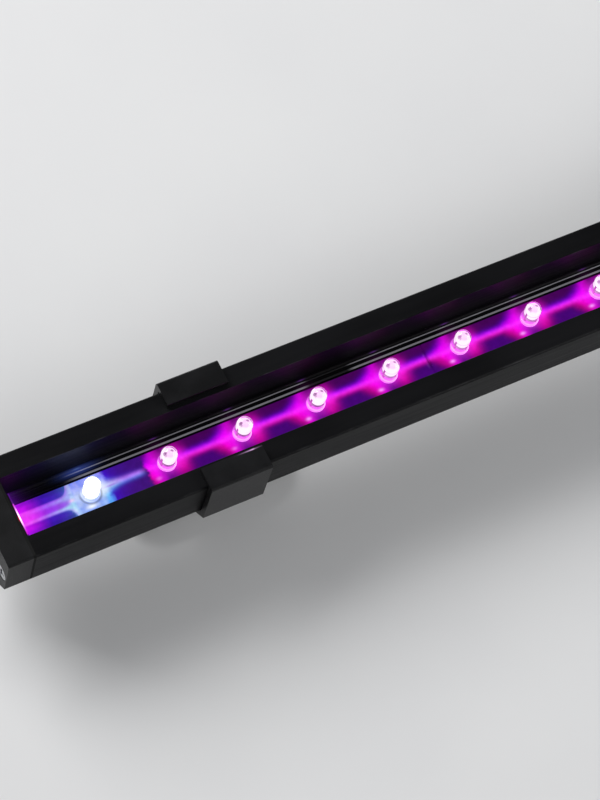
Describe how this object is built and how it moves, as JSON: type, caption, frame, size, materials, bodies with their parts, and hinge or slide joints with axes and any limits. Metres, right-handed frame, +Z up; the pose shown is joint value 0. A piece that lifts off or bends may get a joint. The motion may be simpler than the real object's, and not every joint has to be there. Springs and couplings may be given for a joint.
{
  "type": "led strip batten",
  "caption": "Slim trough-shaped strip light with a row of bare dome diodes on its floor, a socket at each end, and sliding clips on tilting feet.",
  "frame": {"origin": "on the floor under the middle of the batten, at rest on its feet", "axes": "+X along the batten towards the right-hand socket, +Y across it, +Z up out of the trough's mouth"},
  "size_m": [0.5648, 0.0376, 0.0397],
  "materials": {
    "housing_black": "satin black powder coat on extruded aluminium",
    "cap_black": "moulded black plastic",
    "gasket_rubber": "soft sheet gasket",
    "seal_clear": "milky translucent silicone",
    "steel": "zinc plated",
    "board_white": "white solder resist on glass fibre board",
    "lead_metal": "tinned lead frame",
    "solder": "solder fillets",
    "copper": "bare copper straps",
    "resistor_black": "chip resistors",
    "tape": "thin thermal tape",
    "dome_pink": "water-clear epoxy dome, lit magenta",
    "dome_blue": "water-clear epoxy dome, lit blue-white",
    "socket_metal": "nickel plated collar",
    "brass": "plain brass nut",
    "gold_contact": "gold flashed contacts",
    "wire_red": "insulated wire",
    "clip_black": "glossy moulded black clip",
    "foot_black": "black painted foot",
    "pad_rubber": "ribbed rubber pad",
    "knob_black": "fluted thumb nut"
  },
  "bodies": {
    "batten": {"housing_base": "housing_black", "side_rail_near": "housing_black", "side_rail_far": "housing_black", "board_tape": "tape", "board_links": "copper", "resistors": "resistor_black", "solder_joints": "solder", "cap_screws": "steel", "socket_nuts": "brass", "board_1": "board_white", "board_2": "board_white", "board_3": "board_white", "board_4": "board_white", "lead_frames_1": "lead_metal", "lead_frames_2": "lead_metal", "lead_frames_3": "lead_metal", "lead_frames_4": "lead_metal", "diode_1": "dome_blue", "diode_2": "dome_pink", "diode_3": "dome_pink", "diode_4": "dome_pink", "diode_5": "dome_pink", "diode_6": "dome_pink", "diode_7": "dome_pink", "diode_8": "dome_pink", "diode_9": "dome_pink", "diode_10": "dome_pink", "diode_11": "dome_pink", "diode_12": "dome_pink", "diode_13": "dome_pink", "diode_14": "dome_pink", "diode_15": "dome_pink", "diode_16": "dome_pink", "diode_17": "dome_pink", "diode_18": "dome_pink", "diode_19": "dome_pink", "diode_20": "dome_pink", "end_cap_left": "cap_black", "end_cap_right": "cap_black", "cap_gasket_left": "gasket_rubber", "cap_gasket_right": "gasket_rubber", "board_end_seal_left": "seal_clear", "board_end_seal_right": "seal_clear", "socket_left": "socket_metal", "socket_right": "socket_metal", "socket_contacts_left": "gold_contact", "socket_contacts_right": "gold_contact", "feed_wires_left": "wire_red", "feed_wires_right": "wire_red"},
    "clip_left": {"clip_left": "clip_black"},
    "foot_left": {"foot_left": "foot_black", "foot_pad_left": "pad_rubber", "pivot_screw_left": "steel"},
    "knob_left": {"tilt_knob_left": "knob_black"},
    "clip_right": {"clip_right": "clip_black"},
    "foot_right": {"foot_right": "foot_black", "foot_pad_right": "pad_rubber", "pivot_screw_right": "steel"},
    "knob_right": {"tilt_knob_right": "knob_black"}
  },
  "joints": [
    {"name": "clip_slide_left", "type": "slide", "parent": "batten", "child": "clip_left", "axis": [1, 0, 0], "range_m": [-0.045, 0.15]},
    {"name": "foot_tilt_left", "type": "hinge", "parent": "clip_left", "child": "foot_left", "pos_m": [-0.199, 0, 0.00925], "axis": [1, 0, 0], "range_deg": [-45, 45]},
    {"name": "knob_turn_left", "type": "hinge", "parent": "foot_left", "child": "knob_left", "pos_m": [-0.199, 0, 0.00925], "axis": [1, 0, 0], "range_deg": [0, 360]},
    {"name": "clip_slide_right", "type": "slide", "parent": "batten", "child": "clip_right", "axis": [1, 0, 0], "range_m": [-0.15, 0.045]},
    {"name": "foot_tilt_right", "type": "hinge", "parent": "clip_right", "child": "foot_right", "pos_m": [0.199, 0, 0.00925], "axis": [1, 0, 0], "range_deg": [-45, 45]},
    {"name": "knob_turn_right", "type": "hinge", "parent": "foot_right", "child": "knob_right", "pos_m": [0.199, 0, 0.00925], "axis": [1, 0, 0], "range_deg": [0, 360]}
  ]
}
